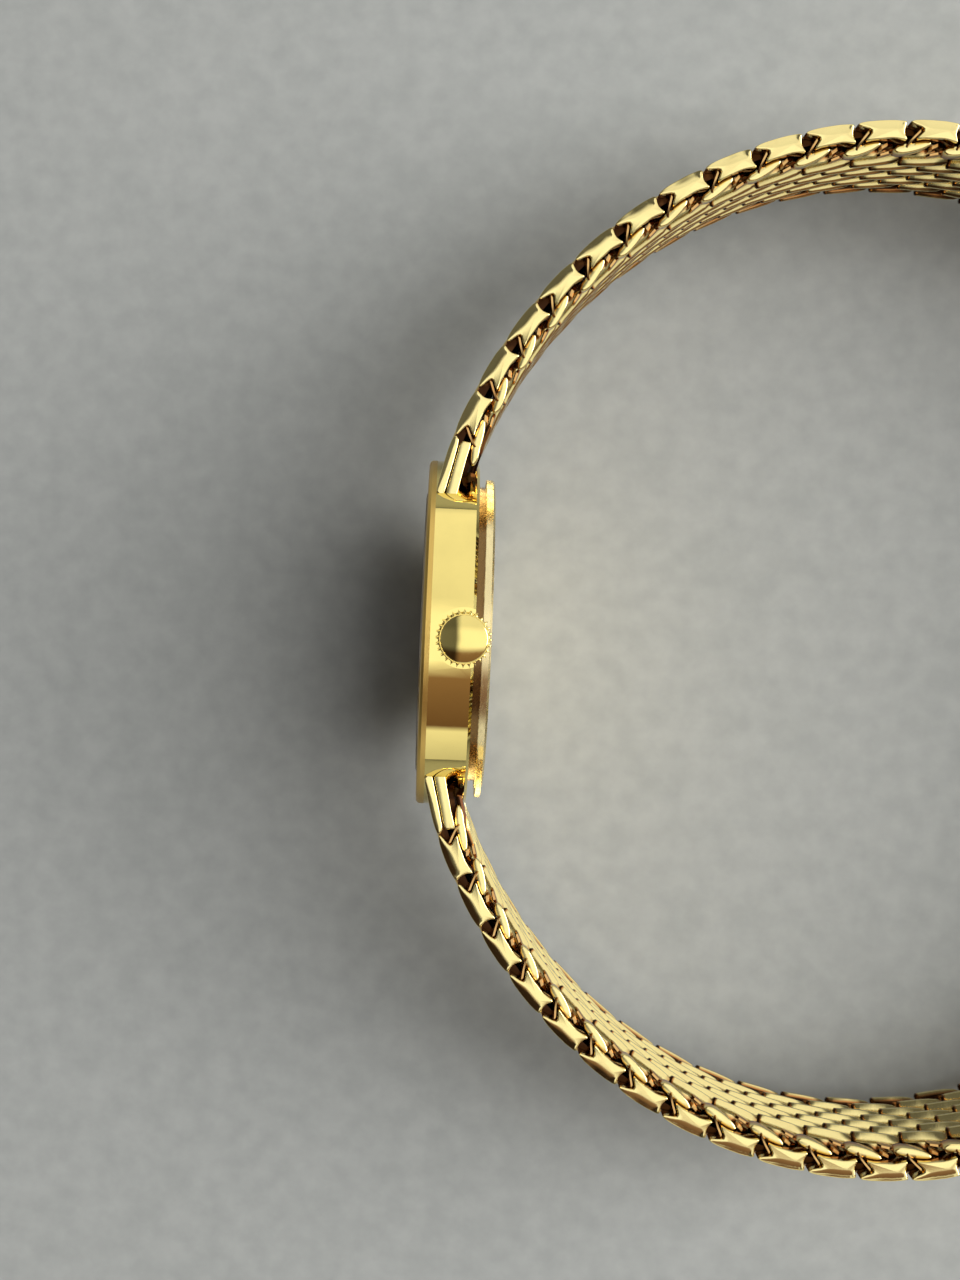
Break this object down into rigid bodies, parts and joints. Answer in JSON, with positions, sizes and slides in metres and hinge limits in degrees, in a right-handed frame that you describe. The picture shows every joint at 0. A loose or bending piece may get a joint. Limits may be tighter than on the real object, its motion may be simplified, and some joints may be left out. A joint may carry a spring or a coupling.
{
  "type": "wristwatch",
  "caption": "Round gold dress watch lying on its side: case with crown, hand-wound movement, dial and hands, on a closed woven link bracelet with a fold-over clasp.",
  "frame": {"origin": "middle of the case back's outer face", "axes": "+X out of the case back towards the wrist, +Y towards 12 o'clock, +Z towards 3 o'clock along the crown; the watch lies on its side with the crown up"},
  "size_m": [0.0568, 0.0622, 0.0232],
  "materials": {
    "gold_polished": "polished",
    "gold_links": "polished links with fine wire lines",
    "crystal": "clear",
    "dial": "satin silvered",
    "gasket": "matt",
    "steel": "polished",
    "blued": "blued",
    "wheel_brass": "grained",
    "plate": "rhodium grained",
    "ruby": "polished"
  },
  "bodies": {
    "case": {"case_band": "gold_polished", "bezel": "gold_polished", "crystal": "crystal", "crystal_gasket": "gasket", "case_back": "gold_polished", "back_gasket": "gasket", "crown_tube": "gold_polished", "movement_ring": "wheel_brass", "dial": "dial", "hour_markers": "gold_polished", "main_plate": "plate", "barrel_bridge": "plate", "train_bridge": "plate", "balance_cock": "plate", "pallet_bridge": "plate", "screws": "blued", "jewels": "ruby", "hairspring": "blued", "upper_end_piece": "gold_links", "lower_end_piece": "gold_links"},
    "centre": {"centre_wheel": "wheel_brass", "cannon_pinion": "steel", "minute_hand": "gold_polished"},
    "hour": {"hour_hand": "gold_polished", "hour_wheel": "wheel_brass"},
    "minute_wheel": {"minute_wheel": "wheel_brass"},
    "barrel": {"barrel": "wheel_brass", "mainspring": "blued"},
    "third": {"third_wheel": "wheel_brass"},
    "fourth": {"fourth_wheel": "wheel_brass"},
    "escape": {"escape_wheel": "steel"},
    "pallets": {"pallet_fork": "steel"},
    "balance": {"balance_wheel": "wheel_brass"},
    "winding": {"winding_pinion": "steel"},
    "crown": {"crown": "gold_polished", "stem": "steel"},
    "sliding": {"sliding_pinion": "steel"},
    "crown_wheel": {"crown_wheel": "steel"},
    "ratchet": {"ratchet_wheel": "steel", "barrel_arbor": "steel"},
    "click": {"click": "steel"},
    "setting_lever": {"setting_lever": "steel"},
    "yoke": {"yoke": "steel"},
    "upper_1": {"upper_links_1": "gold_links"},
    "upper_2": {"upper_links_2": "gold_links"},
    "upper_3": {"upper_links_3": "gold_links"},
    "upper_4": {"upper_links_4": "gold_links"},
    "upper_5": {"upper_links_5": "gold_links"},
    "upper_6": {"upper_links_6": "gold_links"},
    "lower_1": {"lower_links_1": "gold_links"},
    "lower_2": {"lower_links_2": "gold_links"},
    "lower_3": {"lower_links_3": "gold_links"},
    "lower_4": {"lower_links_4": "gold_links"},
    "lower_5": {"lower_links_5": "gold_links"},
    "lower_6": {"lower_links_6": "gold_links"},
    "hook": {"clasp_hook": "gold_links"},
    "ladder": {"clasp_ladder": "gold_links", "clasp_pin": "steel"},
    "cover": {"clasp_cover": "gold_links"}
  },
  "joints": [
    {"name": "minute_hand_turn", "type": "hinge", "parent": "case", "child": "centre", "pos_m": [-0.0015, 0, 0], "axis": [1, 0, 0], "continuous": true},
    {"name": "hour_hand_turn", "type": "hinge", "parent": "case", "child": "hour", "pos_m": [-0.0015, 0, 0], "axis": [1, 0, 0], "continuous": true},
    {"name": "minute_wheel_turn", "type": "hinge", "parent": "case", "child": "minute_wheel", "pos_m": [-0.0015, -0.00139, 0.0008], "axis": [1, 0, 0], "continuous": true},
    {"name": "barrel_turn", "type": "hinge", "parent": "case", "child": "barrel", "pos_m": [-0.0015, 0.00353, 0.00165], "axis": [1, 0, 0], "continuous": true},
    {"name": "third_wheel_turn", "type": "hinge", "parent": "case", "child": "third", "pos_m": [-0.0015, 0, -0.00272], "axis": [1, 0, 0], "continuous": true},
    {"name": "fourth_wheel_turn", "type": "hinge", "parent": "case", "child": "fourth", "pos_m": [-0.0015, -0.0019, -0.00341], "axis": [1, 0, 0], "continuous": true},
    {"name": "escape_wheel_turn", "type": "hinge", "parent": "case", "child": "escape", "pos_m": [-0.0015, -0.00333, -0.00259], "axis": [1, 0, 0], "continuous": true},
    {"name": "pallet_rock", "type": "hinge", "parent": "case", "child": "pallets", "pos_m": [-0.0015, -0.00369, -0.00113], "axis": [1, 0, 0], "range_deg": [-4, 4]},
    {"name": "balance_swing", "type": "hinge", "parent": "case", "child": "balance", "pos_m": [-0.0015, -0.0043, 0.00129], "axis": [1, 0, 0], "range_deg": [-270, 270]},
    {"name": "crown_turn", "type": "hinge", "parent": "case", "child": "winding", "pos_m": [-0.0016, 0, 0.006], "axis": [0, 0, 1], "continuous": true},
    {"name": "crown_pull", "type": "slide", "parent": "winding", "child": "crown", "axis": [0, 0, 1], "range_m": [0, 0.0006]},
    {"name": "sliding_pinion_shift", "type": "slide", "parent": "winding", "child": "sliding", "axis": [0, 0, 1], "range_m": [-0.0005, 0]},
    {"name": "crown_wheel_turn", "type": "hinge", "parent": "case", "child": "crown_wheel", "pos_m": [-0.0015, 0, 0.00435], "axis": [1, 0, 0], "continuous": true},
    {"name": "ratchet_turn", "type": "hinge", "parent": "case", "child": "ratchet", "pos_m": [-0.0015, 0.00353, 0.00165], "axis": [1, 0, 0], "continuous": true},
    {"name": "click_lift", "type": "hinge", "parent": "case", "child": "click", "pos_m": [-0.0015, 0.00382, -0.00164], "axis": [1, 0, 0], "range_deg": [0, 10]},
    {"name": "setting_lever_turn", "type": "hinge", "parent": "case", "child": "setting_lever", "pos_m": [-0.0015, -0.002, 0.00685], "axis": [1, 0, 0], "range_deg": [0, 21.16]},
    {"name": "yoke_turn", "type": "hinge", "parent": "case", "child": "yoke", "pos_m": [-0.0015, -0.0023, 0.0047], "axis": [1, 0, 0], "range_deg": [-16.66, 0]},
    {"name": "upper_hinge_1", "type": "hinge", "parent": "case", "child": "upper_1", "pos_m": [-0.0015, 0.012, 0], "axis": [0, 0, 1], "range_deg": [-6, 6]},
    {"name": "upper_hinge_2", "type": "hinge", "parent": "upper_1", "child": "upper_2", "pos_m": [0.00504, 0.02197, 0], "axis": [0, 0, 1], "range_deg": [-0.77, 0.77]},
    {"name": "upper_hinge_3", "type": "hinge", "parent": "upper_2", "child": "upper_3", "pos_m": [0.01503, 0.02845, 0], "axis": [0, 0, 1], "range_deg": [-4.46, 4.46]},
    {"name": "upper_hinge_4", "type": "hinge", "parent": "upper_3", "child": "upper_4", "pos_m": [0.02683, 0.03001, 0], "axis": [0, 0, 1], "range_deg": [-6.21, 6.21]},
    {"name": "upper_hinge_5", "type": "hinge", "parent": "upper_4", "child": "upper_5", "pos_m": [0.03811, 0.02623, 0], "axis": [0, 0, 1], "range_deg": [-3.43, 3.43]},
    {"name": "upper_hinge_6", "type": "hinge", "parent": "upper_5", "child": "upper_6", "pos_m": [0.04678, 0.01806, 0], "axis": [0, 0, 1], "range_deg": [-1.7, 1.7]},
    {"name": "upper_hinge_7", "type": "hinge", "parent": "upper_6", "child": "hook", "pos_m": [0.05159, 0.00715, 0], "axis": [0, 0, 1], "range_deg": [-5.63, 5.63]},
    {"name": "lower_hinge_1", "type": "hinge", "parent": "case", "child": "lower_1", "pos_m": [-0.0015, -0.012, 0], "axis": [0, 0, 1], "range_deg": [-6.02, 6.02]},
    {"name": "lower_hinge_2", "type": "hinge", "parent": "lower_1", "child": "lower_2", "pos_m": [0.00504, -0.02197, 0], "axis": [0, 0, 1], "range_deg": [-0.77, 0.77]},
    {"name": "lower_hinge_3", "type": "hinge", "parent": "lower_2", "child": "lower_3", "pos_m": [0.01503, -0.02845, 0], "axis": [0, 0, 1], "range_deg": [-4.46, 4.46]},
    {"name": "lower_hinge_4", "type": "hinge", "parent": "lower_3", "child": "lower_4", "pos_m": [0.02683, -0.03001, 0], "axis": [0, 0, 1], "range_deg": [-6.21, 6.21]},
    {"name": "lower_hinge_5", "type": "hinge", "parent": "lower_4", "child": "lower_5", "pos_m": [0.03811, -0.02623, 0], "axis": [0, 0, 1], "range_deg": [-3.43, 3.43]},
    {"name": "lower_hinge_6", "type": "hinge", "parent": "lower_5", "child": "lower_6", "pos_m": [0.04678, -0.01806, 0], "axis": [0, 0, 1], "range_deg": [-1.7, 1.7]},
    {"name": "lower_hinge_7", "type": "hinge", "parent": "lower_6", "child": "ladder", "pos_m": [0.05159, -0.00715, 0], "axis": [0, 0, 1], "range_deg": [-5.63, 5.63]},
    {"name": "clasp_cover_open", "type": "hinge", "parent": "ladder", "child": "cover", "pos_m": [0.05198, -0.00525, 0], "axis": [0, 0, 1], "range_deg": [-110, 0]}
  ],
  "couplings": [
    {"joint": "hour_hand_turn", "follows": "minute_hand_turn", "ratio": 0.083333},
    {"joint": "minute_wheel_turn", "follows": "minute_hand_turn", "ratio": -0.33333},
    {"joint": "barrel_turn", "follows": "minute_hand_turn", "ratio": -0.2},
    {"joint": "third_wheel_turn", "follows": "minute_hand_turn", "ratio": -7.5},
    {"joint": "fourth_wheel_turn", "follows": "minute_hand_turn", "ratio": 60},
    {"joint": "escape_wheel_turn", "follows": "minute_hand_turn", "ratio": -600},
    {"joint": "crown_wheel_turn", "follows": "crown_turn", "ratio": -0.44118},
    {"joint": "ratchet_turn", "follows": "crown_turn", "ratio": 0.27273},
    {"joint": "sliding_pinion_shift", "follows": "crown_pull", "ratio": -0.83333},
    {"joint": "setting_lever_turn", "follows": "crown_pull", "rad_per_m": 609.76},
    {"joint": "yoke_turn", "follows": "crown_pull", "rad_per_m": -478.93},
    {"joint": "upper_hinge_2", "follows": "upper_hinge_1", "ratio": 0.12516},
    {"joint": "upper_hinge_3", "follows": "upper_hinge_1", "ratio": -0.74022},
    {"joint": "upper_hinge_4", "follows": "upper_hinge_1", "ratio": -1.0312},
    {"joint": "upper_hinge_5", "follows": "upper_hinge_1", "ratio": -0.56831},
    {"joint": "upper_hinge_6", "follows": "upper_hinge_1", "ratio": 0.27984},
    {"joint": "upper_hinge_7", "follows": "upper_hinge_1", "ratio": 0.9347},
    {"joint": "lower_hinge_1", "follows": "upper_hinge_1", "ratio": -1},
    {"joint": "lower_hinge_2", "follows": "upper_hinge_1", "ratio": -0.12516},
    {"joint": "lower_hinge_3", "follows": "upper_hinge_1", "ratio": 0.74022},
    {"joint": "lower_hinge_4", "follows": "upper_hinge_1", "ratio": 1.0312},
    {"joint": "lower_hinge_5", "follows": "upper_hinge_1", "ratio": 0.56831},
    {"joint": "lower_hinge_6", "follows": "upper_hinge_1", "ratio": -0.27984},
    {"joint": "lower_hinge_7", "follows": "upper_hinge_1", "ratio": -0.9347}
  ]
}
